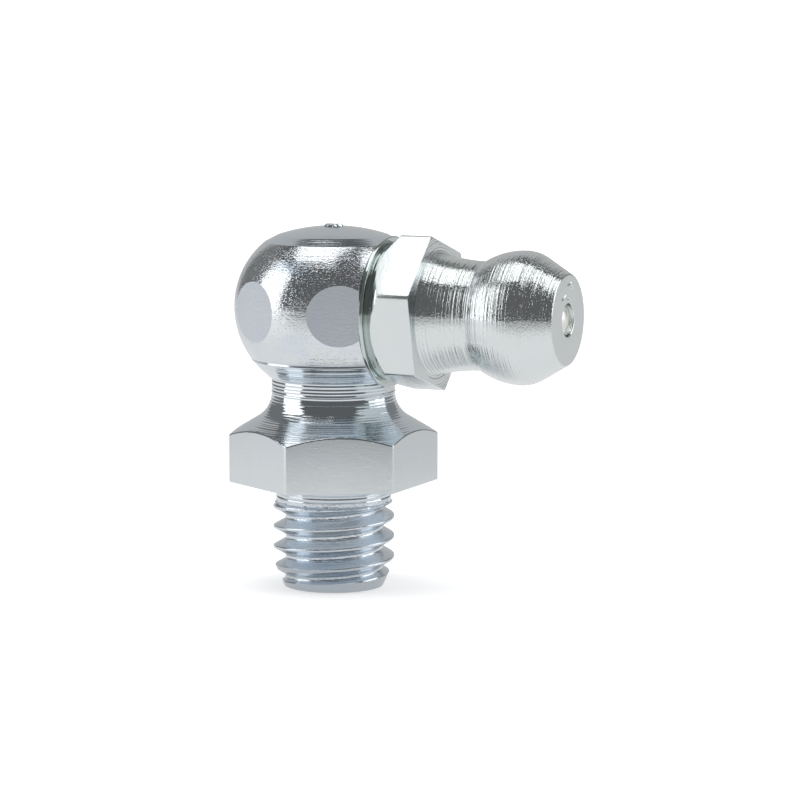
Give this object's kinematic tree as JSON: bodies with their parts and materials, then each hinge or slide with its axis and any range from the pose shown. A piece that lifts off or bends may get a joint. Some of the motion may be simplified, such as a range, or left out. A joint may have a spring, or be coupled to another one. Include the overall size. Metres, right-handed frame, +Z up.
{
  "type": "grease nipple",
  "caption": "Right-angled ball-head grease nipple: threaded shank, wrench hexagon, neck and ball, with a pressed-in head at 90 degrees that holds a sprung check ball.",
  "frame": {"origin": "on the thread axis, in the plane of the hexagon's underside, which seats on the machine", "axes": "+Z up along the thread axis, away from the shank; +X along the head, out of its face"},
  "size_m": [0.0171, 0.0104, 0.018],
  "materials": {
    "zinc_plated_steel": "bright zinc plate with a thin blue passivation, over turned steel",
    "ball_steel": "polished hardened steel",
    "spring_steel": "bright drawn wire"
  },
  "bodies": {
    "nipple": {"elbow_body": "zinc_plated_steel", "nipple_head": "zinc_plated_steel", "spring": "spring_steel"},
    "check_ball": {"check_ball": "ball_steel"}
  },
  "joints": [
    {"name": "ball_lift", "type": "slide", "parent": "nipple", "child": "check_ball", "axis": [-1, 0, 0], "range_m": [0, 0.0008], "stiffness_N_per_m": 150, "springref_m": -0.001, "deforming": ["spring"]}
  ]
}
